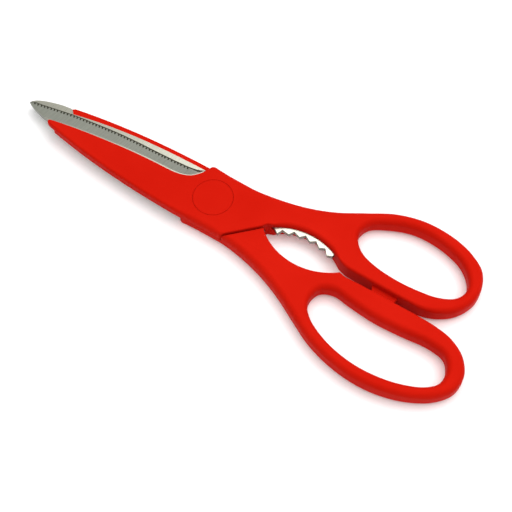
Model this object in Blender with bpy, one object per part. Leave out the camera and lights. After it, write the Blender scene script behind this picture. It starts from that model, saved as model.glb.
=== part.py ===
"""Poultry shears: two steel blades in moulded grips, turning on one pivot.

The frame: the pivot axis is the Z axis, the blade tips lie at -X and the loops at +X.
The shears lie flat with their underside at z = 0. The thumb half is the upper layer and
opens counter-clockwise; the finger half is the lower layer. The blade plates meet at mid
thickness. Each half is drawn lying as the thumb half does, with its blade's back on -Y and
its handle on +Y. Each half hangs on an empty on the pivot, and the finger half's is turned over.
Sizes below are in millimetres and become metres in the meshes.
"""
import math

import bmesh
import bpy
from mathutils import Vector
from mathutils.geometry import tessellate_polygon

MM = 0.001

# Driving dimensions
THICKNESS = 9.0
PLATE = 2.0
LAYER_GAP = 0.3
FIT = 0.3
TIP_X = -91.2
HUB_HALF_WIDTH = 12.6
PARTING = 16.8
PARTING_CLEARANCE = 0.7
HANDLE_GAP = 1.5

# Heights of the thumb half's plate
PLATE_LOW = (THICKNESS + LAYER_GAP) / 2
PLATE_TOP = PLATE_LOW + PLATE
EDGE_LAND = 0.12
TIP_BEVEL = 6.7
GRIND_BEYOND = 1.5

# Blade cover
SPINE_SWELL = 0.32
SPINE_DROP = 5.4
SPINE_POWER = 2.38
SPINE_REFERENCE = 71.2
RIM_INNER = 11.1
RIM_DROP = 6.2
RIM_POWER = 2.65
NOSE_X = -74.5
LAND_WIDTH = 1.25

# Crusher opening: two arcs facing each other across the X axis
LENS_X = 42.0
LENS_RADIUS = 26.0
FINGER_LENS_RADIUS = 26.7
LENS_PEAK = 7.2
LENS_LAST = -36.0
LENS_STEPS = 13
LENS_EASE = 11.0
LENS_ROUNDING = 0.6
THUMB_LENS_ROUNDING = 1.7
LENS_CENTRE_Y = LENS_PEAK - LENS_RADIUS
TOOTH_TIP_RADIUS = 23.4
TOOTH_ROOT_RADIUS = 25.0
TOOTH_COUNT = 6
TOOTH_FIRST = -32.4
TOOTH_PITCH = 10.9
TOOTH_FLANK = 4.6

# Pivot stack, from the sleeve's flange up to the screw's head
BORE_RADIUS = 3.3
BARREL_RADIUS = 3.0
BARREL_TOP = PLATE_TOP + 0.1
THREAD_RADIUS = 1.7
FLANGE_RADIUS = 5.4
FLANGE_THICKNESS = 1.0
FLANGE_LOW = THICKNESS - PLATE_TOP - FIT - FLANGE_THICKNESS
WASHER_BORE = 3.3
WAVE_LOW = PLATE_TOP + 0.2
WAVE_RISE = 0.05
FLAT_LOW = WAVE_LOW + 0.4
HEAD_LOW = FLAT_LOW + 0.4
HEAD_RADIUS = 5.2
HEAD_THICKNESS = 0.5
SLOT_LENGTH = 8.0
SLOT_WIDTH = 1.0
SLOT_DEPTH = 0.3

# Caps, and the wells that they close
WELL_RADIUS = 6.6
CAP_RADIUS = 7.85
CAP_THICKNESS = 0.6
CAP_SEAT = 0.9
CAP_CHAMFER = 0.15
SKIRT_OUTER = 6.2
SKIRT_INNER = 5.7
SKIRT_DEPTH = 0.6

# Closing stop on the thumb handle
STOP_X = 77.5
STOP_GAP = 1.7
STOP_LENGTH = 11.0
STOP_LOW = 3.5
STOP_TOP = 5.5

ARC_STEPS = 4
TURN_STEPS = 48
SHARP_ANGLE = 32

# Handle outlines, each point with the rounding of its edge: x, y, rounding
THUMB_OUTER = [(13, 12.75, 2.2), (24.5, 14.6, 2.4), (34.5, 17.25, 2.5), (44.4, 21.35, 2.5),
               (54.4, 27.3, 2.5), (64.4, 33.0, 2.4), (74.5, 36.0, 2.3), (82.5, 36.5, 2.3),
               (90.8, 35.6, 2.3), (98.5, 33.1, 2.3), (105.0, 28.8, 2.3), (108.2, 22.2, 2.3),
               (108.3, 15.2, 2.3), (104.8, 8.2, 2.3), (99.3, 3.9, 2.0), (93.0, 1.8, 1.4),
               (87.0, 1.5, 1.1), (74.0, 1.42, 1.1), (62.5, 1.5, 1.1)]
THUMB_HOLE = [(56.8, 18.2, 2.4), (58.4, 23.3, 2.4), (65.0, 27.7, 2.3), (72.5, 30.7, 2.2),
              (79.5, 31.5, 2.2), (88.2, 30.6, 2.2), (96.6, 27.6, 2.2), (102.2, 22.3, 2.2),
              (103.7, 17.6, 2.2), (101.7, 12.9, 2.2), (96.0, 9.7, 2.2), (88.0, 8.2, 2.2),
              (79.5, 7.7, 2.2), (70.0, 8.5, 2.2), (62.5, 10.8, 2.3), (58.2, 14.6, 2.4)]
FINGER_OUTER = [(13, 12.75, 2.2), (23.0, 14.4, 2.4), (33.0, 17.2, 2.5), (43.0, 21.3, 2.5),
                (53.0, 26.6, 2.5), (63.0, 31.6, 2.3), (73.0, 34.6, 2.1), (84.0, 36.0, 2.0),
                (94.5, 35.3, 2.0), (105.0, 32.3, 2.1), (114.1, 27.0, 2.3), (119.1, 20.4, 2.4),
                (119.3, 13.2, 2.4), (115.4, 6.9, 2.4), (108.6, 2.9, 2.2), (101.0, 1.7, 1.5),
                (92.0, 1.55, 1.1), (80.0, 1.7, 1.1), (70.0, 1.75, 1.1), (64.5, 1.95, 1.0)]
FINGER_HOLE = [(54.9, 16.2, 2.4), (56.1, 20.2, 2.4), (60.2, 24.3, 2.3), (69.5, 28.7, 2.1),
               (79.5, 30.9, 1.9), (88.5, 31.1, 1.9), (99.5, 29.2, 2.0), (108.9, 25.1, 2.2),
               (112.8, 21.0, 2.3), (112.9, 15.7, 2.4), (109.6, 10.6, 2.4), (103.0, 9.1, 2.4),
               (90.0, 10.2, 2.4), (79.5, 10.7, 2.4), (69.0, 9.9, 2.4), (61.0, 9.1, 2.4),
               (56.4, 11.3, 2.4)]

# Where each handle's gap side turns into the crusher opening
THUMB_CORNER = [(60.2, 1.6, 1.1), (58.2, 2.1, 1.0)]
FINGER_CORNER = [(61.8, 2.05, 0.9), (60.2, 1.85, 0.7)]

# The line where the blade cover ends and bare steel begins, from the nose to the hub
COVER_EDGE = [(-77.2, -4.75), (-71.0, -3.3), (-60.6, -1.6), (-50.6, -0.3), (-40.6, 0.75),
              (-30.6, 1.45), (-19.8, 1.95), (-15.9, 2.8), (-13.1, 4.25), (-11.0, 6.4),
              (-9.5, 8.8), (-8.8, 10.6)]
HUB_CORNER = [(-8.1, 11.8, 0.6), (-7.2, 12.4, 0.7), (-5.0, 12.6, 1.4), (0.0, 12.6, 2.0),
              (6.0, 12.6, 2.1)]
CUTTING_EDGE = [(TIP_X, 0.0), (-89.6, 0.8), (-86.2, 1.4), (-81.2, 2.45), (-71.2, 4.35),
                (-61.2, 5.7), (-51.2, 6.85), (-41.2, 7.5), (-31.2, 7.9), (-21.2, 8.45),
                (-16.2, 8.95), (-13.4, 9.6), (-11.6, 10.4), (-10.0, 11.2), (-8.0, 11.2)]
THUMB_TIP_BACK = [(-74.4, -4.75), (-77.7, -4.6), (-80.5, -4.2), (-83.0, -3.7), (-85.5, -3.05),
                  (-88.0, -2.15), (-89.8, -1.4), (-90.9, -0.7)]
FINGER_TIP_BACK = [(-74.3, -6.3), (-76.3, -6.2), (-78.6, -5.9), (-81.0, -5.3), (-83.5, -4.6),
                   (-86.0, -3.75), (-88.2, -2.8), (-89.9, -1.8), (-90.9, -0.9)]
TANG_BACK = [(20.0, 11.3), (30.0, 13.0), (40.0, 15.2), (47.0, 16.6), (51.0, 15.4),
             (53.3, 11.5)]

# Colour, roughness and metallic value of each kind of finish
FINISHES = {"plastic": ((0.70, 0.012, 0.006, 1.0), 0.42, 0.0),
            "steel": ((0.62, 0.62, 0.58, 1.0), 0.3, 1.0),
            "dark_steel": ((0.32, 0.32, 0.33, 1.0), 0.35, 1.0)}


# Outlines

def spline(points, steps, closed=False):
    """A smooth curve through the points, with every value of a point interpolated."""
    points = [Vector(p) for p in points]
    count = len(points)
    if closed:
        padded = [points[-1]] + points + points[:2]
    else:
        padded = [2 * points[0] - points[1]] + points + [2 * points[-1] - points[-2]]
    curve = []
    for i in range(len(padded) - 3):
        p0, p1, p2, p3 = padded[i:i + 4]
        t1 = (p1 - p0).length ** 0.5
        t2 = t1 + (p2 - p1).length ** 0.5
        t3 = t2 + (p3 - p2).length ** 0.5
        for k in range(steps):
            t = t1 + (t2 - t1) * k / steps
            a1 = p0 * ((t1 - t) / t1) + p1 * (t / t1)
            a2 = (p1 * (t2 - t) + p2 * (t - t1)) / (t2 - t1)
            a3 = (p2 * (t3 - t) + p3 * (t - t2)) / (t3 - t2)
            b1 = (a1 * (t2 - t) + a2 * t) / t2
            b2 = (a2 * (t3 - t) + a3 * (t - t1)) / (t3 - t1)
            curve.append(tuple((b1 * (t2 - t) + b2 * (t - t1)) / (t2 - t1)))
    if not closed:
        curve.append(tuple(points[count - 1]))
    return curve


def lens_point(radius, degrees):
    """A point of the crusher opening's edge, by its angle from the middle."""
    angle = math.radians(degrees)
    return (LENS_X + radius * math.sin(angle), LENS_CENTRE_Y + radius * math.cos(angle))


def lens_arc(radius, first, last, steps):
    return [lens_point(radius, first + (last - first) * k / steps) for k in range(steps + 1)]


def height_on(curve, x):
    """The y of a curve at x, for a curve whose x always rises."""
    for (x0, y0), (x1, y1) in zip(curve, curve[1:]):
        if x0 <= x <= x1:
            return y0 + (y1 - y0) * (x - x0) / (x1 - x0)
    return curve[0][1] if x < curve[0][0] else curve[-1][1]


def beside(curve, distance):
    """The curve moved sideways, to its left as it runs towards +X."""
    moved = []
    for i, (x, y) in enumerate(curve):
        x0, y0 = curve[max(i - 1, 0)]
        x1, y1 = curve[min(i + 1, len(curve) - 1)]
        along = Vector((x1 - x0, y1 - y0)).normalized()
        moved.append((x - along.y * distance, y + along.x * distance))
    return moved


def spine(x):
    """Half width from the axis to the back of the blade cover."""
    swell = SPINE_SWELL * min(max(-x, 0) / RIM_INNER, 1)
    return HUB_HALF_WIDTH + swell - SPINE_DROP * (max(-x, 0) / SPINE_REFERENCE) ** SPINE_POWER


def rim_inner(x):
    """Where the rim along the back of the cover meets the steel."""
    return RIM_INNER - RIM_DROP * (max(-x, 0) / SPINE_REFERENCE) ** RIM_POWER


def offset(outline, distances):
    """Moves each point along the outward normal of a clockwise outline."""
    moved = []
    count = len(outline)
    for i in range(count):
        here = Vector(outline[i][:2])
        before = (here - Vector(outline[i - 1][:2])).normalized()
        after = (Vector(outline[(i + 1) % count][:2]) - here).normalized()
        bisector = (Vector((-before.y, before.x)) + Vector((-after.y, after.x))).normalized()
        mitre = max(bisector.dot(Vector((-before.y, before.x))), 0.6)
        moved.append(tuple(here + bisector * distances[i] / mitre))
    return moved


def grip_outline(handle, corner, lens):
    """The outline of one half's grip, clockwise: back of the blade, edge side, handle, lens."""
    foot = PARTING * math.sqrt(2)
    outline = [(foot - HUB_HALF_WIDTH, -HUB_HALF_WIDTH, 1.2), (6.0, -HUB_HALF_WIDTH, 2.0)]
    outline += [(x, -spine(x), max(1.0, 1.9 + x / 14)) for x in range(0, -73, -6)]
    outline += [(-75.8, -spine(-75.8), 0.9), (-77.1, -6.1, 0.6), (-77.5, -5.4, 0.6)]
    outline += [(x, y, 0.8) for x, y in spline(COVER_EDGE, 2)]
    outline += HUB_CORNER
    outline += spline(handle, 4)
    outline += corner
    outline += lens
    outline += [(24.9, 1.6, 0.6), (23.9, 0.5, 0.5), (23.2, -foot + 23.2, 0.6)]
    outline += [(foot - HUB_HALF_WIDTH + t, -HUB_HALF_WIDTH + t, 0.6) for t in (8.0, 4.0, 1.0)]
    return outline


def lens_edge(radius, first, rounding):
    """The crusher opening's edge in a grip, with less rounding towards its two ends."""
    edge = []
    for k in range(LENS_STEPS + 1):
        degrees = first + (LENS_LAST - first) * k / LENS_STEPS
        share = min((first - degrees) / LENS_EASE, (degrees - LENS_LAST) / LENS_EASE, 1)
        x, y = lens_point(radius, degrees)
        edge.append((x, y, LENS_ROUNDING + (rounding - LENS_ROUNDING) * share))
    return edge


def plate_outline(tip_back, opening):
    """The outline of one blade plate, clockwise, from the hub round the tip to the tang."""
    reach = (PARTING - 1.8) * math.sqrt(2)
    rim = [(x, -rim_inner(x) + FIT) for x in range(0, -71, -5)]
    outline = [(reach - 10.8, -10.8)] + rim
    outline += [(-72.6, -rim_inner(-72.6) + FIT)]
    outline += tip_back
    outline += spline(CUTTING_EDGE, 3)
    outline += [(-6.0, 10.8), (11.0, 10.8)]
    outline += spline(TANG_BACK, 2)
    outline += opening
    outline += [(24.4, 4.0), (22.2, 2.2), (20.0, 20.0 - reach)]
    return outline


def crusher_teeth():
    """The toothed edge of the thumb plate in the crusher opening, from right to left."""
    edge = [(53.4, 8.0), (53.2, 5.4), (52.8, 3.7)]
    for i in reversed(range(TOOTH_COUNT)):
        tip = TOOTH_FIRST + TOOTH_PITCH * i
        if i < TOOTH_COUNT - 1:
            edge.append(lens_point(TOOTH_ROOT_RADIUS, tip + TOOTH_FLANK))
        edge.append(lens_point(TOOTH_TIP_RADIUS, tip))
    return edge + [(26.7, 2.6)]


# Meshes

def new_object(name, shape, finish=None):
    """An object from a bmesh, with its faces pointing out and its round parts smooth."""
    bmesh.ops.recalc_face_normals(shape, faces=shape.faces)
    mesh = bpy.data.meshes.new(name)
    shape.to_mesh(mesh)
    shape.free()
    if finish:
        mesh.materials.append(finish)
    mesh.shade_smooth()
    mesh.set_sharp_from_angle(angle=math.radians(SHARP_ANGLE))
    item = bpy.data.objects.new(name, mesh)
    bpy.context.scene.collection.objects.link(item)
    return item


def stacked_solid(name, levels, finish=None):
    """A closed solid through stacked levels, each a list of loops that share their order."""
    shape = bmesh.new()
    rings = [[[shape.verts.new(Vector(p) * MM) for p in loop] for loop in loops]
             for loops in levels]
    for low, high in zip(rings, rings[1:]):
        for lower, upper in zip(low, high):
            for i in range(len(lower)):
                j = (i + 1) % len(lower)
                shape.faces.new((lower[i], lower[j], upper[j], upper[i]))
    for loops, corners in ((levels[0], rings[0]), (levels[-1], rings[-1])):
        flat = [[Vector((x, y, 0)) for x, y, z in loop] for loop in loops]
        corners = [corner for loop in corners for corner in loop]
        for triangle in tessellate_polygon(flat):
            shape.faces.new([corners[i] for i in triangle])
    return new_object(name, shape, finish)


def rounded_plate(name, outer, holes, finish):
    """A plate of full thickness whose edges are rounded by each outline point's radius."""
    angles = [math.radians(90 * k / ARC_STEPS) for k in range(ARC_STEPS + 1)]
    levels = []
    for side in (-1, 1):
        rows = []
        for angle in angles:
            loops = []
            for points, inward in [(outer, -1)] + [(hole, 1) for hole in holes]:
                inset = [inward * p[2] * (1 - math.cos(angle)) for p in points]
                rise = [p[2] * 1.3 * (1 - math.sin(angle)) for p in points]
                flat = offset(points, inset)
                loops.append([(x, y, r if side < 0 else THICKNESS - r)
                              for (x, y), r in zip(flat, rise)])
            rows.append(loops)
        levels += rows if side > 0 else rows[::-1]
    return stacked_solid(name, levels, finish)


def prism(name, outline, low, top, finish=None):
    return stacked_solid(name, [[[(x, y, z) for x, y in outline]] for z in (low, top)], finish)


def turned(name, profile, finish=None):
    """A solid of revolution about the Z axis from an open profile of radius and height."""
    shape = bmesh.new()
    points = [shape.verts.new((r * MM, 0, z * MM)) for r, z in profile]
    edges = [shape.edges.new(pair) for pair in zip(points, points[1:])]
    if profile[0][0] > 0:
        edges.append(shape.edges.new((points[-1], points[0])))
    bmesh.ops.spin(shape, geom=points + edges, axis=(0, 0, 1), cent=(0, 0, 0),
                   angle=2 * math.pi, steps=TURN_STEPS, use_merge=True)
    bmesh.ops.remove_doubles(shape, verts=shape.verts, dist=0.00001)
    return new_object(name, shape, finish)


def disc(name, radius, low, top):
    return turned(name, [(0, low), (radius, low), (radius, top), (0, top)])


def combine(target, operand, operation):
    """Adds or removes an operand for good, and deletes it."""
    modifier = target.modifiers.new(operation.lower(), "BOOLEAN")
    modifier.operation = operation
    modifier.solver = "EXACT"
    modifier.object = operand
    graph = bpy.context.evaluated_depsgraph_get()
    mesh = bpy.data.meshes.new_from_object(target.evaluated_get(graph))
    target.modifiers.clear()
    target.data = mesh
    bpy.data.objects.remove(operand)


def finish_of(name, kind):
    """An object's own material, of one of the three kinds in FINISHES."""
    colour, roughness, metallic = FINISHES[kind]
    finish = bpy.data.materials.new(name + "_finish")
    finish.use_nodes = True
    shader = finish.node_tree.nodes["Principled BSDF"]
    shader.inputs["Base Color"].default_value = colour
    shader.inputs["Roughness"].default_value = roughness
    shader.inputs["Metallic"].default_value = metallic
    return finish


def side_empty(name, turned_over):
    """What one half hangs on, with its Z axis on the pivot. Turning it swings the half."""
    empty = bpy.data.objects.new(name, None)
    if turned_over:
        empty.location = (0, 0, THICKNESS * MM)
        empty.rotation_euler = (math.pi, 0, 0)
    bpy.context.scene.collection.objects.link(empty)
    return empty


# Sub-parts

def make_grip(name, outline, hole, pocket):
    """The moulded grip of one half: blade cover, hub, shank and loop."""
    grip = rounded_plate(name, outline, [spline(hole, 4, closed=True)],
                         finish_of(name, "plastic"))
    behind = (PARTING + PARTING_CLEARANCE) * math.sqrt(2)
    other_half = [(-100, -20), (-100, behind + 100), (behind + 20, -20)]
    combine(grip, prism("other_half", other_half, -1, PLATE_LOW), "DIFFERENCE")
    nose = [(-80, -9), (-80, 0), (NOSE_X + 1.2, 0), (NOSE_X + 1.1, -4.4), (NOSE_X + 0.5, -4.8),
            (NOSE_X, -5.7), (NOSE_X + 0.4, -6.4), (NOSE_X + 1.2, -7.0), (NOSE_X + 1.2, -9)]
    combine(grip, prism("nose", nose, PLATE_LOW - 1, PLATE_TOP + FIT), "DIFFERENCE")
    room = offset(pocket, [FIT] * len(pocket))
    combine(grip, prism("pocket", room, PLATE_LOW - FIT, PLATE_TOP + FIT), "DIFFERENCE")
    combine(grip, disc("well", WELL_RADIUS, PLATE_LOW, THICKNESS + 1), "DIFFERENCE")
    combine(grip, disc("seat", CAP_RADIUS + FIT, THICKNESS - CAP_SEAT, THICKNESS + 1),
            "DIFFERENCE")
    return grip


def grind_cutter():
    """What grinding takes off a plate, from the land beside the cover to the cutting edge."""
    edge = spline(CUTTING_EDGE, 4)
    land = beside(spline(COVER_EDGE, 4), LAND_WIDTH)
    places = [TIP_X - 3, TIP_X, -88, -84, -80] + list(range(-76, -18, 4)) + list(range(-17, -8))
    shape = bmesh.new()
    sections = []
    for x in places:
        y_edge = height_on(edge, x)
        y_land = y_edge - TIP_BEVEL if x < NOSE_X - 1.5 else height_on(land, x)
        y_land = min(y_land, y_edge - 0.5)
        slope = (PLATE - EDGE_LAND) / (y_edge - y_land)
        low = PLATE_LOW + EDGE_LAND - slope * GRIND_BEYOND
        corners = [(x, y_land, PLATE_TOP), (x, y_edge + GRIND_BEYOND, low),
                   (x, y_edge + GRIND_BEYOND, PLATE_TOP + 1), (x, y_land, PLATE_TOP + 1)]
        sections.append([shape.verts.new(Vector(corner) * MM) for corner in corners])
    for here, there in zip(sections, sections[1:]):
        for i in range(4):
            j = (i + 1) % 4
            shape.faces.new((here[i], here[j], there[j], there[i]))
    shape.faces.new(sections[0])
    shape.faces.new(sections[-1])
    return new_object("grind", shape)


def make_blade(name, outline):
    """A blade plate: its outline at full thickness, ground down to the cutting edge."""
    blade = prism(name, outline, PLATE_LOW, PLATE_TOP, finish_of(name, "steel"))
    combine(blade, grind_cutter(), "DIFFERENCE")
    combine(blade, disc("bore", BORE_RADIUS, PLATE_LOW - 1, PLATE_TOP + 1), "DIFFERENCE")
    return blade


def make_cap(name):
    """A flush round cap with a skirt that centres it in the hub's well."""
    low = THICKNESS - CAP_THICKNESS
    skirt = low - SKIRT_DEPTH
    profile = [(0, low), (SKIRT_INNER, low), (SKIRT_INNER, skirt), (SKIRT_OUTER, skirt),
               (SKIRT_OUTER, low), (CAP_RADIUS, low), (CAP_RADIUS, THICKNESS - CAP_CHAMFER),
               (CAP_RADIUS - CAP_CHAMFER, THICKNESS), (0, THICKNESS)]
    return turned(name, profile, finish_of(name, "plastic"))


def make_stop(grip):
    """The lug on the thumb handle that meets the finger handle when the shears close."""
    half = STOP_LENGTH / 2
    tip = FIT - STOP_GAP
    outline = [(STOP_X - half, HANDLE_GAP + 2), (STOP_X + half, HANDLE_GAP + 2),
               (STOP_X + half, HANDLE_GAP), (STOP_X + half - 0.6, tip + 0.4),
               (STOP_X + half - 1.0, tip), (STOP_X - half + 1.2, tip),
               (STOP_X - half + 0.8, tip + 0.4), (STOP_X - half, HANDLE_GAP)]
    combine(grip, prism("stop", outline, STOP_LOW, STOP_TOP), "UNION")


def make_sleeve():
    """The sleeve nut, whose barrel carries both plates, with its flange under the lower one."""
    flange_top = FLANGE_LOW + FLANGE_THICKNESS
    floor = flange_top + 0.5
    return turned("pivot_sleeve", [(0, FLANGE_LOW), (FLANGE_RADIUS, FLANGE_LOW),
                                   (FLANGE_RADIUS, flange_top), (BARREL_RADIUS, flange_top),
                                   (BARREL_RADIUS, BARREL_TOP), (THREAD_RADIUS, BARREL_TOP),
                                   (THREAD_RADIUS, floor), (0, floor)],
                  finish_of("pivot_sleeve", "dark_steel"))


def make_washer(name, radius, low, thickness):
    top = low + thickness
    return turned(name, [(WASHER_BORE, low), (radius, low), (radius, top), (WASHER_BORE, top)],
                  finish_of(name, "dark_steel"))


def make_spring_washer():
    """A washer with three low waves, which keeps the blades pressed together."""
    washer = make_washer("spring_washer", 5.3, WAVE_LOW, 0.2)
    for vertex in washer.data.vertices:
        around = math.atan2(vertex.co.y, vertex.co.x)
        vertex.co.z += WAVE_RISE * MM * (1 + math.cos(3 * around))
    return washer


def make_screw():
    """The slotted screw, with a flat head and a shank that ends in the sleeve's thread."""
    top = HEAD_LOW + HEAD_THICKNESS
    shank_end = FLANGE_LOW + FLANGE_THICKNESS + 1.15
    shank = THREAD_RADIUS - FIT
    screw = turned("pivot_screw", [(0, shank_end), (shank - 0.2, shank_end),
                                   (shank, shank_end + 0.2), (shank, HEAD_LOW),
                                   (HEAD_RADIUS - 0.2, HEAD_LOW), (HEAD_RADIUS, HEAD_LOW + 0.2),
                                   (HEAD_RADIUS, top - 0.15), (HEAD_RADIUS - 0.2, top), (0, top)],
                   finish_of("pivot_screw", "dark_steel"))
    half = SLOT_LENGTH / 2
    across = SLOT_WIDTH / 2
    slot = [(-half, -across), (-half, across), (half, across), (half, -across)]
    combine(screw, prism("slot", slot, top - SLOT_DEPTH, top + 1), "DIFFERENCE")
    return screw


def main():
    for item in list(bpy.data.objects):
        bpy.data.objects.remove(item)
    thumb_side = side_empty("thumb_side", False)
    finger_side = side_empty("finger_side", True)
    thumb_pocket = plate_outline(THUMB_TIP_BACK, [(53.4, 8.0)] + lens_arc(24.4, 27, -37, 8))
    finger_plate = plate_outline(FINGER_TIP_BACK, lens_arc(FINGER_LENS_RADIUS + 1.8, 24, -34, 8))

    thumb_outline = grip_outline(THUMB_OUTER, THUMB_CORNER,
                                 lens_edge(LENS_RADIUS, 33.0, THUMB_LENS_ROUNDING))
    finger_outline = grip_outline(FINGER_OUTER, FINGER_CORNER,
                                  lens_edge(FINGER_LENS_RADIUS, 40.0, LENS_ROUNDING))

    thumb_grip = make_grip("thumb_grip", thumb_outline, THUMB_HOLE, thumb_pocket)
    make_stop(thumb_grip)
    thumb_blade = make_blade("thumb_blade", plate_outline(THUMB_TIP_BACK, crusher_teeth()))
    for item in (thumb_grip, thumb_blade, make_cap("front_cap"), make_spring_washer(),
                 make_washer("flat_washer", 5.4, FLAT_LOW, 0.25), make_sleeve(), make_screw()):
        item.parent = thumb_side

    finger_grip = make_grip("finger_grip", finger_outline, FINGER_HOLE, finger_plate)
    finger_blade = make_blade("finger_blade", finger_plate)
    for item in (finger_grip, finger_blade, make_cap("back_cap")):
        item.parent = finger_side


main()
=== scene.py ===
"""Poultry shears: the finished surfaces and materials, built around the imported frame.

The frame: the pivot axis is the Z axis, the blade tips lie at -X and the loops at +X.
Each half is drawn lying as the thumb half does, with its blade's back on -Y and its handle
on +Y, and the finger half is then turned over about the X axis, at mid thickness.
Sizes are in millimetres and become metres in the meshes.
"""
import math

import bmesh
import bpy
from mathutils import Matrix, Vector
from mathutils.geometry import tessellate_polygon


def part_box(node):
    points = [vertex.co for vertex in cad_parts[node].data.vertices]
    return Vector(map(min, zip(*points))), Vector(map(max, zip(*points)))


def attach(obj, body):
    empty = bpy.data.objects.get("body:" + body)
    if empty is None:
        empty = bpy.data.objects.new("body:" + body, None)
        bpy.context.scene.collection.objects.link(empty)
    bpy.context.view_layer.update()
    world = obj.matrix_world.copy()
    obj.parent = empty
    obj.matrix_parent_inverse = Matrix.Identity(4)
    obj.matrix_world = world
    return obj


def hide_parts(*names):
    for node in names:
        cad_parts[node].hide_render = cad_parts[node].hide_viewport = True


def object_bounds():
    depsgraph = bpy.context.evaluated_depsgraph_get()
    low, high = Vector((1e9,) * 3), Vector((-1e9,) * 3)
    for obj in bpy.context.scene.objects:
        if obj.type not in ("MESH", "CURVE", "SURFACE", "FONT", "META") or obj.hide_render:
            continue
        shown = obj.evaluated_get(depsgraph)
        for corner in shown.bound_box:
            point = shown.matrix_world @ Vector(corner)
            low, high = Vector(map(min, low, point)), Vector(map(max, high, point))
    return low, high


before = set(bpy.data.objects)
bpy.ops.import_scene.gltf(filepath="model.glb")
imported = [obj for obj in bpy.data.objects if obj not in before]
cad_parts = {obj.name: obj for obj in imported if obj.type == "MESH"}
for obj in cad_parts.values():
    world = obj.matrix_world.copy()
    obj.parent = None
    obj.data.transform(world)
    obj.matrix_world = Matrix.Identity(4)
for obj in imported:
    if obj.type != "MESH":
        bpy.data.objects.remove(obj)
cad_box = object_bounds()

MM = 0.001


def box_mm(node):
    """A node's lowest and highest corners in millimetres."""
    low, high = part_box(node)
    return low / MM, high / MM


# Sizes that the frame holds
BLADE_LOW, BLADE_HIGH = box_mm("thumb_blade")
CAP_LOW, CAP_HIGH = box_mm("front_cap")
THICKNESS = CAP_HIGH.z
PLATE_LOW = BLADE_LOW.z
PLATE_TOP = BLADE_HIGH.z
PLATE = PLATE_TOP - PLATE_LOW
TIP_X = BLADE_LOW.x
CAP_RADIUS = CAP_HIGH.x

# The gap left at a fitted face, and how far a cut runs past a surface
FIT = 0.02
BEYOND = 1.0

# Mouldings: rounding taller than it is wide, and the parting face across the hub
RISE = 1.3
PARTING = 16.8
PARTING_CLEARANCE = 0.7
PARTING_ROUNDING = 1.2
ROOM_LENGTH = 100.0
ROOM_SIDE = 20.0

# Blade cover: its back swells past the hub and then narrows towards the nose
HUB_HALF_WIDTH = 12.6
SPINE_SWELL = 0.32
SPINE_DROP = 5.4
SPINE_POWER = 2.38
SPINE_REFERENCE = 71.2
RIM_INNER = 11.1
RIM_DROP = 6.2
RIM_POWER = 2.65
NOSE_X = -74.5
NOSE_STEP = 1.2

# Blade plates: the ground bevel and the narrow steeper one, by their widths and by their
# heights above the plate's face
PLATE_BACKSET = 1.8
PLATE_HALF_WIDTH = 10.8
LAND_WIDTH = 1.25
TIP_BEVEL = 6.7
TIP_BEVEL_LAST_X = -76.0
BEVEL_FOOT = 0.30
NARROW_INSET = 1.75
NARROW_TOP = 1.108
EDGE_LAND = 0.10
LEAST_BEVEL = 0.3
GRIND_BEYOND = 1.5
BORE_RADIUS = 3.3

# Serrations: a profile of share of the half width and height, and sections of reach from
# the cutting edge, height of the groove's floor and share of the width
GROOVE_PITCH = 1.5
GROOVE_WIDTH = 0.8
GROOVE_LEAN = 0.25
GROOVE_PROFILE = [(-1.0, 1.6), (-0.85, 0.25), (0.0, 0.0), (0.85, 0.25), (1.0, 1.6)]
GROOVE_SECTIONS = [(-0.5, -0.10, 1.0), (1.3, 0.30, 1.0), (1.75, 0.72, 0.7)]
GROOVE_FIRST = 2.0
GROOVE_LAST_X = -17.5

# Crusher opening: two arcs that meet in a lens, and the teeth along the thumb side
LENS_X = 42.0
LENS_RADIUS = 26.0
FINGER_LENS_RADIUS = 26.7
LENS_PEAK = 7.2
LENS_LAST = -36.0
LENS_STEPS = 46
LENS_EASE = 11.0
LENS_ROUNDING = 0.55
THUMB_LENS_ROUNDING = 1.75
LENS_CENTRE_Y = LENS_PEAK - LENS_RADIUS
TOOTH_TIP_RADIUS = 23.4
TOOTH_ROOT_RADIUS = 25.0
TOOTH_COUNT = 6
TOOTH_FIRST = -32.4
TOOTH_PITCH = 10.9
TOOTH_FLANK = 4.6

# Pivot cap: its seat in the hub, the fine ring round it, and the skirt that centres it
WELL_RADIUS = 6.6
CAP_SEAT = 0.9
CAP_PLATE = 0.6
CAP_EDGE = 0.25
SEAT_GAP = 0.05
SKIRT_INNER = 5.7
SKIRT_OUTER = 6.2

# Closing stop on the thumb handle
HANDLE_GAP = 1.5
STOP_X = 77.5
STOP_GAP = 1.7
STOP_TIP_GAP = 0.3
STOP_LENGTH = 11.0
STOP_LOW = 3.5
STOP_TOP = 5.5

# How finely curves are divided
SPACING = 0.9
PLATE_SPACING = 1.2
EDGE_STEPS = 8
TURN_STEPS = 128

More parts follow.
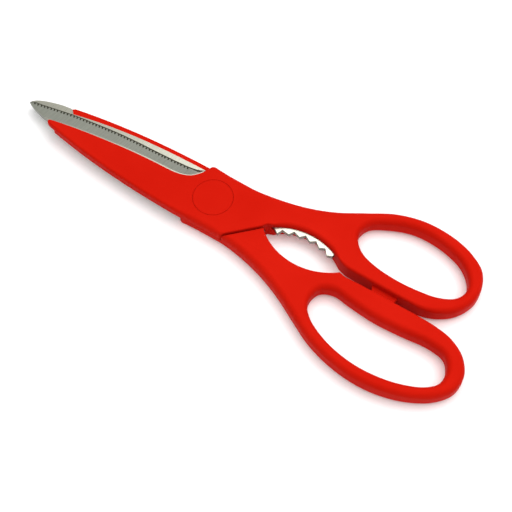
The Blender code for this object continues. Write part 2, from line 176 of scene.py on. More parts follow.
# Handle outlines, each point with the rounding of its edge: x, y, rounding
THUMB_OUTER = [(13, 12.75, 2.2), (24.5, 14.6, 2.4), (34.5, 17.25, 2.5), (44.4, 21.35, 2.5),
               (54.4, 27.3, 2.5), (64.4, 33.0, 2.4), (74.5, 36.0, 2.3), (82.5, 36.5, 2.3),
               (90.8, 35.6, 2.3), (98.5, 33.1, 2.3), (105.0, 28.8, 2.3), (108.2, 22.2, 2.3),
               (108.3, 15.2, 2.3), (104.8, 8.2, 2.3), (99.3, 3.9, 2.0), (93.0, 1.8, 1.4),
               (87.0, 1.5, 1.1), (74.0, 1.42, 1.1), (62.5, 1.5, 1.1)]
THUMB_HOLE = [(56.8, 18.2, 2.4), (58.4, 23.3, 2.4), (65.0, 27.7, 2.3), (72.5, 30.7, 2.2),
              (79.5, 31.5, 2.2), (88.2, 30.6, 2.2), (96.6, 27.6, 2.2), (102.2, 22.3, 2.2),
              (103.7, 17.6, 2.2), (101.7, 12.9, 2.2), (96.0, 9.7, 2.2), (88.0, 8.2, 2.2),
              (79.5, 7.7, 2.2), (70.0, 8.5, 2.2), (62.5, 10.8, 2.3), (58.2, 14.6, 2.4)]
FINGER_OUTER = [(13, 12.75, 2.2), (23.0, 14.4, 2.4), (33.0, 17.2, 2.5), (43.0, 21.3, 2.5),
                (53.0, 26.6, 2.5), (63.0, 31.6, 2.3), (73.0, 34.6, 2.1), (84.0, 36.0, 2.0),
                (94.5, 35.3, 2.0), (105.0, 32.3, 2.1), (114.1, 27.0, 2.3), (119.1, 20.4, 2.4),
                (119.3, 13.2, 2.4), (115.4, 6.9, 2.4), (108.6, 2.9, 2.2), (101.0, 1.7, 1.5),
                (92.0, 1.55, 1.1), (80.0, 1.7, 1.1), (70.0, 1.75, 1.1), (64.5, 1.95, 1.0)]
FINGER_HOLE = [(54.9, 16.2, 2.4), (56.1, 20.2, 2.4), (60.2, 24.3, 2.3), (69.5, 28.7, 2.1),
               (79.5, 30.9, 1.9), (88.5, 31.1, 1.9), (99.5, 29.2, 2.0), (108.9, 25.1, 2.2),
               (112.8, 21.0, 2.3), (112.9, 15.7, 2.4), (109.6, 10.6, 2.4), (103.0, 9.1, 2.4),
               (90.0, 10.2, 2.4), (79.5, 10.7, 2.4), (69.0, 9.9, 2.4), (61.0, 9.1, 2.4),
               (56.4, 11.3, 2.4)]

# Where each handle's gap side turns into the crusher opening
THUMB_CORNER = [(60.2, 1.6, 1.1), (58.2, 2.1, 1.0)]
FINGER_CORNER = [(61.8, 2.05, 0.9), (60.2, 1.85, 0.7)]

# The line where the blade cover ends and bare steel begins, from the nose to the hub
COVER_EDGE = [(-77.2, -4.75), (-71.0, -3.3), (-60.6, -1.6), (-50.6, -0.3), (-40.6, 0.75),
              (-30.6, 1.45), (-19.8, 1.95), (-15.9, 2.8), (-13.1, 4.25), (-11.0, 6.4),
              (-9.5, 8.8), (-8.8, 10.6)]
HUB_CORNER = [(-8.1, 11.8, 0.6), (-7.2, 12.4, 0.7), (-5.0, 12.6, 1.4), (0.0, 12.6, 2.0),
              (6.0, 12.6, 2.1)]
CUTTING_EDGE = [(TIP_X, 0.0), (-89.6, 0.8), (-86.2, 1.4), (-81.2, 2.45), (-71.2, 4.35),
                (-61.2, 5.7), (-51.2, 6.85), (-41.2, 7.5), (-31.2, 7.9), (-21.2, 8.45),
                (-16.2, 8.95), (-13.4, 9.6), (-11.6, 10.4), (-10.0, 11.2), (-8.0, 11.2)]
THUMB_TIP_BACK = [(-74.4, -4.75), (-77.7, -4.6), (-80.5, -4.2), (-83.0, -3.7), (-85.5, -3.05),
                  (-88.0, -2.15), (-89.8, -1.4), (-90.9, -0.7)]
FINGER_TIP_BACK = [(-74.3, -6.3), (-76.3, -6.2), (-78.6, -5.9), (-81.0, -5.3), (-83.5, -4.6),
                   (-86.0, -3.75), (-88.2, -2.8), (-89.9, -1.8), (-90.9, -0.9)]
TANG_BACK = [(20.0, 11.3), (30.0, 13.0), (40.0, 15.2), (47.0, 16.6), (51.0, 15.4),
             (53.3, 11.5)]


# Outlines

def spline(points, spacing=SPACING, closed=False):
    """A smooth curve through the points, about one spacing between its vertices."""
    points = [Vector(p) for p in points]
    if closed:
        padded = [points[-1]] + points + points[:2]
    else:
        padded = [2 * points[0] - points[1]] + points + [2 * points[-1] - points[-2]]
    curve = []
    for i in range(len(padded) - 3):
        p0, p1, p2, p3 = padded[i:i + 4]
        steps = max(1, round((p2 - p1).length / spacing))
        t1 = (p1 - p0).length ** 0.5
        t2 = t1 + (p2 - p1).length ** 0.5
        t3 = t2 + (p3 - p2).length ** 0.5
        for k in range(steps):
            t = t1 + (t2 - t1) * k / steps
            a1 = p0 * ((t1 - t) / t1) + p1 * (t / t1)
            a2 = (p1 * (t2 - t) + p2 * (t - t1)) / (t2 - t1)
            a3 = (p2 * (t3 - t) + p3 * (t - t2)) / (t3 - t2)
            b1 = (a1 * (t2 - t) + a2 * t) / t2
            b2 = (a2 * (t3 - t) + a3 * (t - t1)) / (t3 - t1)
            curve.append(tuple((b1 * (t2 - t) + b2 * (t - t1)) / (t2 - t1)))
    if not closed:
        curve.append(tuple(points[-1]))
    return curve


def lens_point(radius, degrees):
    """A point of the crusher opening's edge, by its angle from the middle."""
    angle = math.radians(degrees)
    return (LENS_X + radius * math.sin(angle), LENS_CENTRE_Y + radius * math.cos(angle))


def lens_arc(radius, first, last, steps):
    """An arc along the crusher opening's edge, between two angles."""
    return [lens_point(radius, first + (last - first) * k / steps) for k in range(steps + 1)]


def height_on(curve, x):
    """The y of a curve at x, for a curve whose x always rises."""
    for (x0, y0), (x1, y1) in zip(curve, curve[1:]):
        if x0 <= x <= x1:
            return y0 + (y1 - y0) * (x - x0) / (x1 - x0)
    return curve[0][1] if x < curve[0][0] else curve[-1][1]


def spine(x):
    """Half width from the axis to the back of the blade cover."""
    past_hub = max(-x, 0)
    swell = SPINE_SWELL * min(past_hub / RIM_INNER, 1)
    return HUB_HALF_WIDTH + swell - SPINE_DROP * (past_hub / SPINE_REFERENCE) ** SPINE_POWER


def rim_inner(x):
    """Where the rim along the back of the cover meets the steel."""
    return RIM_INNER - RIM_DROP * (max(-x, 0) / SPINE_REFERENCE) ** RIM_POWER


def offset(outline, distances):
    """Moves each point along the outward normal of a clockwise outline."""
    moved = []
    count = len(outline)
    for i in range(count):
        here = Vector(outline[i][:2])
        before = (here - Vector(outline[i - 1][:2])).normalized()
        after = (Vector(outline[(i + 1) % count][:2]) - here).normalized()
        bisector = (Vector((-before.y, before.x)) + Vector((-after.y, after.x))).normalized()
        mitre = max(bisector.dot(Vector((-before.y, before.x))), 0.6)
        moved.append(tuple(here + bisector * distances[i] / mitre))
    return moved


def back_rounding(x):
    """The rounding along the back of the blade cover, finer towards the nose."""
    return max(1.0, 1.9 + x / 14)


def grip_outline(handle, corner, lens):
    """The outline of one half's grip, clockwise: back of the blade, edge side, handle, lens."""
    foot = PARTING * math.sqrt(2)
    back = [(foot - HUB_HALF_WIDTH, -HUB_HALF_WIDTH, 1.2), (8.0, -HUB_HALF_WIDTH, 2.0)]
    back += [(x, -spine(x), back_rounding(x)) for x in range(0, -73, -3)]
    nose = [(-75.8, -spine(-75.8), 0.9), (-77.0, -6.2, 0.7), (-77.5, -5.4, 0.6)]
    top = [(x, y, 0.8) for x, y in COVER_EDGE] + HUB_CORNER + handle + corner
    outline = spline(back + nose + top)
    outline += lens
    outline += spline([(24.9, 1.6, 0.55), (23.9, 0.5, 0.5), (23.2, -foot + 23.2, 0.6)], 0.4)
    reach = foot - HUB_HALF_WIDTH
    outline += [(reach + t, -HUB_HALF_WIDTH + t, 0.6) for t in (10.0, 8.0, 6.0, 4.0, 2.0, 0.7)]
    return outline


def lens_edge(radius, first, rounding):
    """The crusher opening's edge in a grip, with less rounding towards its two ends."""
    edge = []
    for k in range(LENS_STEPS + 1):
        degrees = first + (LENS_LAST - first) * k / LENS_STEPS
        share = min((first - degrees) / LENS_EASE, (degrees - LENS_LAST) / LENS_EASE, 1)
        x, y = lens_point(radius, degrees)
        edge.append((x, y, LENS_ROUNDING + (rounding - LENS_ROUNDING) * share))
    return edge


def plate_outline(tip_back, opening):
    """The outline of one blade plate, clockwise, from the hub round the tip to the tang."""
    reach = (PARTING - PLATE_BACKSET) * math.sqrt(2)
    rim = [(x, -rim_inner(x) + FIT) for x in range(0, -71, -2)]
    rim_end = (-72.6, -rim_inner(-72.6) + FIT)
    outline = [(reach - PLATE_HALF_WIDTH, -PLATE_HALF_WIDTH)] + rim
    outline += spline([rim_end] + tip_back + [(TIP_X, 0.0)], PLATE_SPACING)[:-1]
    outline += spline(CUTTING_EDGE, PLATE_SPACING)
    outline += [(-6.0, PLATE_HALF_WIDTH), (11.0, PLATE_HALF_WIDTH)]
    outline += spline(TANG_BACK)
    outline += opening
    outline += [(24.4, 4.0), (22.2, 2.2), (20.0, 20.0 - reach)]
    return outline


def crusher_teeth():
    """The toothed edge of the thumb plate in the crusher opening, from right to left."""
    edge = [(53.4, 8.0), (53.2, 5.4), (52.8, 3.7)]
    for i in reversed(range(TOOTH_COUNT)):
        tip = TOOTH_FIRST + TOOTH_PITCH * i
        if i < TOOTH_COUNT - 1:
            edge.append(lens_point(TOOTH_ROOT_RADIUS, tip + TOOTH_FLANK))
        edge.append(lens_point(TOOTH_TIP_RADIUS, tip))
    return edge + [(26.7, 2.6)]


# Meshes

def new_object(name, shape, finishes):
    """An object from a bmesh, whose normals are first turned outward."""
    bmesh.ops.recalc_face_normals(shape, faces=shape.faces)
    mesh = bpy.data.meshes.new(name)
    shape.to_mesh(mesh)
    shape.free()
    for finish in finishes:
        mesh.materials.append(finish)
    item = bpy.data.objects.new(name, mesh)
    bpy.context.scene.collection.objects.link(item)
    return item


def mesh_object(name, vertices, faces, finishes):
    shape = bmesh.new()
    corners = [shape.verts.new(Vector(v) * MM) for v in vertices]
    for face in faces:
        shape.faces.new([corners[i] for i in face])
    return new_object(name, shape, finishes)


def stacked_solid(name, levels, finishes):
    """A closed solid through stacked levels, each a list of loops that share their order."""
    vertices = []
    starts = []
    for loops in levels:
        starts.append([])
        for loop in loops:
            starts[-1].append(len(vertices))
            vertices += loop
    faces = []
    for low, high in zip(starts, starts[1:]):
        for index, loop in enumerate(levels[0]):
            count = len(loop)
            for i in range(count):
                j = (i + 1) % count
                faces.append((low[index] + i, low[index] + j, high[index] + j, high[index] + i))
    for level in (0, len(levels) - 1):
        flat = [[Vector((x, y, 0)) for x, y, z in loop] for loop in levels[level]]
        first = starts[level][0]
        faces += [tuple(first + i for i in triangle) for triangle in tessellate_polygon(flat)]
    return mesh_object(name, vertices, faces, finishes)


def rounded_plate(name, outer, holes, finishes):
    """A plate of full thickness whose edges are rounded by each outline point's radius."""
    angles = [math.radians(90 * k / EDGE_STEPS) for k in range(EDGE_STEPS + 1)]
    levels = []
    for side in (-1, 1):
        rows = []
        for angle in angles:
            loops = []
            for points, inward in [(outer, -1)] + [(hole, 1) for hole in holes]:
                inset = [inward * p[2] * (1 - math.cos(angle)) for p in points]
                rise = [p[2] * RISE * (1 - math.sin(angle)) for p in points]
                flat = offset(points, inset)
                loops.append([(x, y, r if side < 0 else THICKNESS - r)
                              for (x, y), r in zip(flat, rise)])
            rows.append(loops)
        levels += rows if side > 0 else rows[::-1]
    return stacked_solid(name, levels, finishes)


def prism(name, outline, low, top, finishes):
    """An upright solid with one outline."""
    return stacked_solid(name, [[[(x, y, z) for x, y in outline]] for z in (low, top)], finishes)


def turned(name, profile, finishes):
    """A solid of revolution about the Z axis from a profile of radius and height."""
    shape = bmesh.new()
    points = [shape.verts.new((r * MM, 0, z * MM)) for r, z in profile]
    edges = [shape.edges.new(pair) for pair in zip(points, points[1:])]
    bmesh.ops.spin(shape, geom=points + edges, axis=(0, 0, 1), cent=(0, 0, 0),
                   angle=2 * math.pi, steps=TURN_STEPS, use_merge=True)
    bmesh.ops.remove_doubles(shape, verts=shape.verts, dist=0.00001)
    return new_object(name, shape, finishes)


def loft_faces(first, sections, count):
    """Faces of a closed solid through sections of count points each, from a first vertex."""
    last = first + (sections - 1) * count
    faces = [tuple(range(first, first + count)), tuple(range(last, last + count))]
    for start in range(first, last, count):
        faces += [(start + i, start + (i + 1) % count,
                   start + count + (i + 1) % count, start + count + i) for i in range(count)]
    return faces


def fillet(centre_r, centre_z, radius, first, last, steps=5):
    """Points of a quarter round in a turned profile, between two angles in degrees."""
    angles = [math.radians(first + (last - first) * k / steps) for k in range(steps + 1)]
    return [(centre_r + radius * math.cos(a), centre_z + radius * math.sin(a)) for a in angles]


def combine(target, operand, operation):
    """Adds or removes an operand for good, and deletes it."""
    modifier = target.modifiers.new(operation.lower(), "BOOLEAN")
    modifier.operation = operation
    modifier.solver = "EXACT"
    modifier.material_mode = "TRANSFER"
    modifier.object = operand
    graph = bpy.context.evaluated_depsgraph_get()
    mesh = bpy.data.meshes.new_from_object(target.evaluated_get(graph))
    target.modifiers.clear()
    target.data = mesh
    bpy.data.objects.remove(operand)


def finish_piece(item, body, node, sharp_degrees=35):
    """Smooths a piece, ties it to its body, and hides the node it replaces."""
    item.data.shade_smooth()
    item.data.set_sharp_from_angle(angle=math.radians(sharp_degrees))
    normals = item.modifiers.new("normals", "WEIGHTED_NORMAL")
    normals.keep_sharp = True
    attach(item, body)
    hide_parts(node)
    return item


def turn_over(item):
    """Turns a finished half's piece over about the X axis, at mid thickness."""
    for vertex in item.data.vertices:
        x, y, z = vertex.co
        vertex.co = (x, -y, THICKNESS * MM - z)
    item.data.update()
    return item


# Materials

class Nodes:
    """A material's node tree, with short calls for its nodes."""

    def __init__(self, name):
        self.material = bpy.data.materials.new(name)
        self.material.use_nodes = True
        self.tree = self.material.node_tree
        self.shader = self.tree.nodes["Principled BSDF"]
        self.place = self.node("ShaderNodeTexCoord").outputs["Object"]

    def node(self, kind, **settings):
        item = self.tree.nodes.new(kind)
        for key, value in settings.items():
            setattr(item, key, value)
        return item

    def link(self, source, target):
        self.tree.links.new(source, target)

    def stretched(self, scale, turn=0.0):
        """The object's coordinates, scaled on each axis and turned about Z."""
        mapping = self.node("ShaderNodeMapping")
        mapping.inputs["Scale"].default_value = scale
        mapping.inputs["Rotation"].default_value = (0, 0, math.radians(turn))
        self.link(self.place, mapping.inputs["Vector"])
        return mapping.outputs["Vector"]

    def noise(self, vector, scale, detail=2.0, roughness=0.5):
        item = self.node("ShaderNodeTexNoise")
        item.inputs["Scale"].default_value = scale
        item.inputs["Detail"].default_value = detail
        item.inputs["Roughness"].default_value = roughness
        self.link(vector, item.inputs["Vector"])
        return item.outputs["Fac"]

    def ramp(self, source, stops):
        """A ramp from the source's value, with stops of position and grey or colour."""
        item = self.node("ShaderNodeValToRGB")
        while len(item.color_ramp.elements) < len(stops):
            item.color_ramp.elements.new(0.5)
        for element, (position, colour) in zip(item.color_ramp.elements, stops):
            element.position = position
            if isinstance(colour, float):
                colour = (colour, colour, colour)
            element.color = (*colour, 1.0)
        self.link(source, item.inputs["Fac"])
        return item.outputs["Color"]

    def bump(self, source, strength, distance, below=None):
        item = self.node("ShaderNodeBump")
        item.inputs["Strength"].default_value = strength
        item.inputs["Distance"].default_value = distance
        self.link(source, item.inputs["Height"])
        if below is not None:
            self.link(below, item.inputs["Normal"])
        return item.outputs["Normal"]


def red_plastic(name):
    """Moulded plastic: an even red with faint clouding, a fine satin grain and soft flow."""
    nodes = Nodes(name)
    cloud = nodes.noise(nodes.stretched((1, 1, 1)), 38, 3)
    speck = nodes.noise(nodes.place, 2600, 2)
    colour = nodes.ramp(cloud, [(0.3, (0.520, 0.0078, 0.0026)), (0.7, (0.565, 0.0102, 0.0038))])
    nodes.link(colour, nodes.shader.inputs["Base Color"])
    gloss = nodes.ramp(speck, [(0.3, 0.36), (0.7, 0.46)])
    nodes.link(gloss, nodes.shader.inputs["Roughness"])
    peel = nodes.bump(nodes.noise(nodes.place, 420, 2), 0.10, 0.00004)
    grain = nodes.bump(speck, 0.12, 0.00002, peel)
    nodes.link(grain, nodes.shader.inputs["Normal"])
    nodes.shader.inputs["Specular IOR Level"].default_value = 0.015
    nodes.shader.inputs["Specular Tint"].default_value = (1.0, 0.38, 0.26, 1.0)
    return nodes.material


def steel(name, light, dark, gloss, turn, line_scale, depth):
    """Ground stainless steel: fine parallel grind lines and a slow change of tone."""
    nodes = Nodes(name)
    lines = nodes.noise(nodes.stretched(line_scale, turn), 1.0, 3, 0.65)
    tone = nodes.noise(nodes.place, 60, 2)
    colour = nodes.ramp(lines, [(0.32, dark), (0.68, light)])
    shade = nodes.node("ShaderNodeMix", data_type="RGBA", blend_type="MULTIPLY")
    shade.inputs["Factor"].default_value = 0.35
    nodes.link(colour, shade.inputs["A"])
    nodes.link(nodes.ramp(tone, [(0.35, 0.86), (0.65, 1.0)]), shade.inputs["B"])
    nodes.link(shade.outputs["Result"], nodes.shader.inputs["Base Color"])
    nodes.link(nodes.ramp(lines, [(0.3, gloss + 0.08), (0.7, gloss)]),
               nodes.shader.inputs["Roughness"])
    nodes.link(nodes.bump(lines, depth, 0.00003), nodes.shader.inputs["Normal"])
    nodes.shader.inputs["Metallic"].default_value = 1.0
    return nodes.material


RED = red_plastic("grip_red")
FLAT_STEEL = steel("blade_flat", (0.535, 0.53, 0.445), (0.46, 0.455, 0.375), 0.26, 4,
                   (1900, 60, 60), 0.25)
GROUND_STEEL = steel("blade_bevel", (0.52, 0.54, 0.465), (0.41, 0.425, 0.36), 0.36, 14,
                     (2600, 90, 90), 0.3)
# Painted shade: the serration grooves and the narrow bevel along the cutting edge get steel far
# darker than the blade's, standing in for the shade in them; only their rougher grind is real
PAINTED_SHADE_STEEL = steel("blade_painted_shade", (0.11, 0.11, 0.075), (0.07, 0.07, 0.05), 0.5, 10,
                    (2000, 200, 200), 0.3)
EDGE_STEEL = steel("plate_edge", (0.32, 0.32, 0.29), (0.20, 0.20, 0.18), 0.42, 0,
                   (200, 200, 2400), 0.4)
PIVOT_STEEL = steel("pivot_turned", (0.58, 0.58, 0.57), (0.44, 0.44, 0.43), 0.3, 0,
                    (300, 300, 3000), 0.3)


# Pieces

def other_half_room():
    """The corner below the plates that the other half fills, with the parting's soft lip."""
    levels = [(-BEYOND, PARTING_ROUNDING), (0, PARTING_ROUNDING)]
    for degrees in (60, 40, 20, 0):
        angle = math.radians(degrees)
        levels.append((PARTING_ROUNDING * (1 - math.sin(angle)),
                       PARTING_ROUNDING * (1 - math.cos(angle))))
    levels.append((PLATE_LOW, 0.0))
    room = []
    for z, shift in levels:
        edge = (PARTING + PARTING_CLEARANCE + shift) * math.sqrt(2)
        room.append([[(-ROOM_LENGTH, -ROOM_SIDE, z), (-ROOM_LENGTH, edge + ROOM_LENGTH, z),
                      (edge + ROOM_SIDE, -ROOM_SIDE, z)]])
    return stacked_solid("other_half", room, [RED])


def make_grip(name, outline, hole, pocket):
    """The moulded grip of one half: blade cover, hub, shank and loop."""
    grip = rounded_plate(name, outline, [spline(hole, closed=True)], [RED])
    combine(grip, other_half_room(), "DIFFERENCE")
    inner_x = NOSE_X + NOSE_STEP
    nose = [(-80, -9), (-80, 0), (inner_x, 0)]
    nose += spline([(NOSE_X + 1.1, -4.4), (NOSE_X + 0.4, -4.9), (NOSE_X, -5.7),
                    (NOSE_X + 0.4, -6.4), (inner_x, -7.0)], 0.3)
    nose += [(inner_x, -9)]
    combine(grip, prism("nose", nose, PLATE_LOW - BEYOND, PLATE_TOP + FIT, [RED]), "DIFFERENCE")
    pocket = offset(pocket, [FIT] * len(pocket))
    combine(grip, prism("pocket", pocket, PLATE_LOW - FIT, PLATE_TOP + FIT, [RED]), "DIFFERENCE")
    seat_radius = CAP_RADIUS + CAP_EDGE
    seat_low = THICKNESS - CAP_SEAT
    lip = fillet(seat_radius + CAP_EDGE, THICKNESS - CAP_EDGE, CAP_EDGE, 180, 90)
    profile = [(0, PLATE_LOW), (WELL_RADIUS, PLATE_LOW), (WELL_RADIUS, seat_low),
               (seat_radius, seat_low)] + lip
    profile += [(seat_radius + CAP_EDGE, THICKNESS + BEYOND), (0, THICKNESS + BEYOND)]
    combine(grip, turned("seat", profile, [RED]), "DIFFERENCE")
    return grip


def make_stop(grip):
    """The lug on the thumb handle that meets the finger handle when the shears close."""
    half = STOP_LENGTH / 2
    tip = STOP_TIP_GAP - STOP_GAP
    side = [(half, HANDLE_GAP), (half - 0.3, HANDLE_GAP - 1.2), (half - 0.6, tip + 0.4),
            (half - 1.0, tip)]
    outline = [(STOP_X - half, HANDLE_GAP + 2), (STOP_X + half, HANDLE_GAP + 2)]
    outline += [(STOP_X + x, y) for x, y in side]
    outline += [(STOP_X - x + 0.2, y) for x, y in side[:0:-1]] + [(STOP_X - half, HANDLE_GAP)]
    combine(grip, prism("stop", outline, STOP_LOW, STOP_TOP, [RED]), "UNION")


def beside(curve, distance):
    """The curve moved sideways, to its left as it runs towards +X."""
    moved = []
    for i, (x, y) in enumerate(curve):
        x0, y0 = curve[max(i - 1, 0)]
        x1, y1 = curve[min(i + 1, len(curve) - 1)]
        along = Vector((x1 - x0, y1 - y0)).normalized()
        moved.append((x - along.y * distance, y + along.x * distance))
    return moved


def grind_cutter(places, inner, inner_height, edge_height, finish):
    """What grinding takes off a plate, from an inner line down to the cutting edge."""
    edge = spline(CUTTING_EDGE, PLATE_SPACING)
    top = PLATE_TOP + BEYOND
    vertices = []
    for x in places:
        y_edge = height_on(edge, x)
        y_inner = min(inner(x, y_edge), y_edge - LEAST_BEVEL)
        y_outer = y_edge + GRIND_BEYOND
        slope = (inner_height - edge_height) / (y_edge - y_inner)
        low = PLATE_LOW + edge_height - slope * GRIND_BEYOND
        vertices += [(x, y_inner, PLATE_LOW + inner_height), (x, y_outer, low),
                     (x, y_outer, top), (x, y_inner, top)]
    return mesh_object("grind", vertices, loft_faces(0, len(places), 4), [finish])


def grind(blade):
    """Grinds the bevel and then a narrow steeper one along the cutting edge."""
    land = beside(spline(COVER_EDGE, 0.8), LAND_WIDTH)
    places = [TIP_X - 3] + [TIP_X + k for k in range(0, 16, 2)]
    places += [-75 + 2 * k for k in range(29)] + [-17 + 0.5 * k for k in range(17)]

    def bevel_start(x, y_edge):
        return y_edge - TIP_BEVEL if x < TIP_BEVEL_LAST_X else height_on(land, x)

    def narrow_start(x, y_edge):
        return y_edge - NARROW_INSET

    combine(blade, grind_cutter(places, bevel_start, PLATE, BEVEL_FOOT, GROUND_STEEL),
            "DIFFERENCE")
    # The narrow bevel takes the dark steel: a painted shade line along the cutting edge
    combine(blade, grind_cutter(places, narrow_start, NARROW_TOP, EDGE_LAND, PAINTED_SHADE_STEEL),
            "DIFFERENCE")


def groove_cutters():
    """Wedges that cut the fine serrations, square to the cutting edge and running out on it."""
    edge = spline(CUTTING_EDGE, 0.3)
    vertices = []
    faces = []
    travelled = 0.0
    next_groove = GROOVE_FIRST
    for (x0, y0), (x1, y1) in zip(edge, edge[1:]):
        along = Vector((x1 - x0, y1 - y0))
        travelled += along.length
        if x1 > GROOVE_LAST_X or travelled < next_groove:
            continue
        next_groove += GROOVE_PITCH
        along.normalize()
        inward = (Vector((along.y, -along.x)) + along * GROOVE_LEAN).normalized()
        first = len(vertices)
        for reach, low, width in GROOVE_SECTIONS:
            middle = Vector((x1, y1)) + inward * reach
            half = along * GROOVE_WIDTH * width / 2
            for share, height in GROOVE_PROFILE:
                spot = middle + half * share
                vertices.append((spot.x, spot.y, PLATE_LOW + low + height))
        faces += loft_faces(first, len(GROOVE_SECTIONS), len(GROOVE_PROFILE))
    # The grooves' faces take the dark steel: painted shade in the serrations
    return mesh_object("grooves", vertices, faces, [PAINTED_SHADE_STEEL])


def make_blade(name, outline, serrated):
    """A blade plate: its outline at full thickness, ground down to the cutting edge."""
    blade = prism(name, outline, PLATE_LOW, PLATE_TOP, [FLAT_STEEL])
    blade.data.materials.append(EDGE_STEEL)
    for face in blade.data.polygons:
        face.material_index = int(abs(face.normal.z) < 0.5)
    grind(blade)
    if serrated:
        combine(blade, groove_cutters(), "DIFFERENCE")
    low = PLATE_LOW - BEYOND
    top = PLATE_TOP + BEYOND
    bore = [(0, low), (BORE_RADIUS, low), (BORE_RADIUS, top), (0, top)]
    combine(blade, turned("bore", bore, [EDGE_STEEL]), "DIFFERENCE")
    return blade


def make_cap(name):
    """A flush round cap with a soft edge and a skirt that centres it in the hub's well."""
    low = THICKNESS - CAP_PLATE
    skirt = CAP_LOW.z
    rim = CAP_RADIUS + CAP_EDGE - SEAT_GAP
    profile = [(0, low), (SKIRT_INNER, low), (SKIRT_INNER, skirt), (SKIRT_OUTER, skirt),
               (SKIRT_OUTER, low), (rim, low)]
    profile += fillet(rim - CAP_EDGE, THICKNESS - CAP_EDGE, CAP_EDGE, 0, 90)
    profile += [(0, THICKNESS)]
    return turned(name, profile, [RED])


thumb_pocket = plate_outline(THUMB_TIP_BACK, [(53.4, 8.0)] + lens_arc(24.4, 27, -37, 8))
finger_plate = plate_outline(FINGER_TIP_BACK, lens_arc(FINGER_LENS_RADIUS + 1.8, 24, -34, 8))

thumb_blade = make_blade("thumb_blade_ground", plate_outline(THUMB_TIP_BACK, crusher_teeth()),
                         serrated=True)
finish_piece(thumb_blade, "thumb_half", "thumb_blade", 12)
finger_blade = turn_over(make_blade("finger_blade_ground", finger_plate, serrated=False))
finish_piece(finger_blade, "finger_half", "finger_blade", 12)

thumb_outline = grip_outline(THUMB_OUTER, THUMB_CORNER,
                             lens_edge(LENS_RADIUS, 33.0, THUMB_LENS_ROUNDING))
finger_outline = grip_outline(FINGER_OUTER, FINGER_CORNER,
                              lens_edge(FINGER_LENS_RADIUS, 40.0, LENS_ROUNDING))
thumb_grip = make_grip("thumb_grip_moulded", thumb_outline, THUMB_HOLE, thumb_pocket)
make_stop(thumb_grip)
finish_piece(thumb_grip, "thumb_half", "thumb_grip")
finger_grip = turn_over(make_grip("finger_grip_moulded", finger_outline, FINGER_HOLE,
                                  finger_plate))
finish_piece(finger_grip, "finger_half", "finger_grip")

finish_piece(make_cap("front_cap_moulded"), "thumb_half", "front_cap")
finish_piece(turn_over(make_cap("back_cap_moulded")), "finger_half", "back_cap")

for node in ("pivot_sleeve", "pivot_screw", "flat_washer", "spring_washer"):
    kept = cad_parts[node]
    kept.data.materials.clear()
    kept.data.materials.append(PIVOT_STEEL)


# Stage, lights and camera, in metres and degrees

FLOOR_WIDTH = 6.0
FLOOR_GAP = 0.0002
CAMERA_AZIMUTH = 32.411
CAMERA_ELEVATION = 62.0
CAMERA_AIM = (0.02565, -0.008634, -0.001)
CAMERA_DISTANCE = 0.476539


def make_floor():
    """A wide pale floor just under the shears, with a faint unevenness."""
    nodes = Nodes("floor_white")
    tone = nodes.noise(nodes.place, 3, 2)
    nodes.link(nodes.ramp(tone, [(0.3, 0.93), (0.7, 0.95)]), nodes.shader.inputs["Base Color"])
    nodes.shader.inputs["Roughness"].default_value = 0.9
    nodes.shader.inputs["Specular IOR Level"].default_value = 0.1
    nodes.shader.inputs["Emission Color"].default_value = (1, 1, 1, 1)
    nodes.shader.inputs["Emission Strength"].default_value = 0.09
    mesh = bpy.data.meshes.new("floor")
    half = FLOOR_WIDTH / 2
    mesh.from_pydata([(-half, -half, 0), (half, -half, 0), (half, half, 0), (-half, half, 0)],
                     [], [(0, 1, 2, 3)])
    mesh.materials.append(nodes.material)
    floor = bpy.data.objects.new("floor", mesh)
    floor.location.z = cad_box[0][2] - FLOOR_GAP
    bpy.context.scene.collection.objects.link(floor)


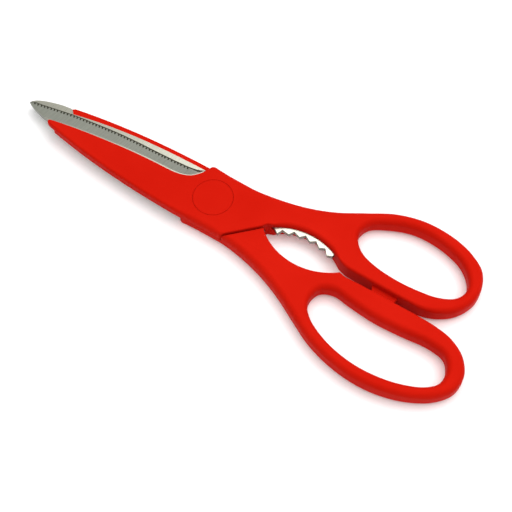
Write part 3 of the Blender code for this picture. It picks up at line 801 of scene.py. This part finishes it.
def make_softbox(name, place, aim, width, depth, radiance):
    """A rectangular lamp whose face has the same brightness whatever its size."""
    lamp = bpy.data.lights.new(name, "AREA")
    lamp.shape = "RECTANGLE"
    lamp.size = width
    lamp.size_y = depth
    lamp.energy = radiance * math.pi * width * depth
    item = bpy.data.objects.new(name, lamp)
    item.location = place
    item.rotation_euler = (Vector(place) - Vector(aim)).to_track_quat("Z", "Y").to_euler()
    bpy.context.scene.collection.objects.link(item)


def make_world(behind, before, below):
    """An even room: pale on the far side, less so on the near one, darker below."""
    world = bpy.data.worlds.new("room")
    world.use_nodes = True
    tree = world.node_tree
    place = tree.nodes.new("ShaderNodeTexCoord")
    split = tree.nodes.new("ShaderNodeSeparateXYZ")
    tree.links.new(place.outputs["Generated"], split.inputs["Vector"])

    def ramp(axis, stops):
        item = tree.nodes.new("ShaderNodeValToRGB")
        for element, (position, grey) in zip(item.color_ramp.elements, stops):
            element.position = position
            element.color = (grey, grey, grey, 1)
        tree.links.new(split.outputs[axis], item.inputs["Fac"])
        return item.outputs["Color"]

    room = tree.nodes.new("ShaderNodeMix")
    room.data_type = "RGBA"
    room.blend_type = "MULTIPLY"
    room.inputs["Factor"].default_value = 1.0
    tree.links.new(ramp("Z", [(0.0, below), (0.15, 1.0)]), room.inputs["A"])
    tree.links.new(ramp("Y", [(0.0, before), (0.5, behind)]), room.inputs["B"])
    tree.links.new(room.outputs["Result"], tree.nodes["Background"].inputs["Color"])
    bpy.context.scene.world = world


def make_camera():
    azimuth = math.radians(CAMERA_AZIMUTH)
    elevation = math.radians(CAMERA_ELEVATION)
    back = Vector((math.sin(azimuth) * math.cos(elevation),
                   -math.cos(azimuth) * math.cos(elevation), math.sin(elevation)))
    camera = bpy.data.objects.new("camera", bpy.data.cameras.new("camera"))
    camera.data.lens = 85
    camera.data.sensor_width = 36
    camera.data.clip_start = 0.01
    camera.location = Vector(CAMERA_AIM) + back * CAMERA_DISTANCE
    camera.rotation_euler = back.to_track_quat("Z", "Y").to_euler()
    bpy.context.scene.collection.objects.link(camera)
    bpy.context.scene.camera = camera


make_floor()
make_world(behind=0.45, before=0.40, below=0.7)
make_softbox("key", (0.13, -0.02, 0.65), (0.13, -0.02, 0.0), 0.94, 1.14, 1.42)
make_softbox("fill", (0.19, 0.28, 0.64), (0.19, 0.28, 0.0), 0.70, 0.50, 1.95)
make_camera()
bpy.context.scene.view_settings.view_transform = "Standard"
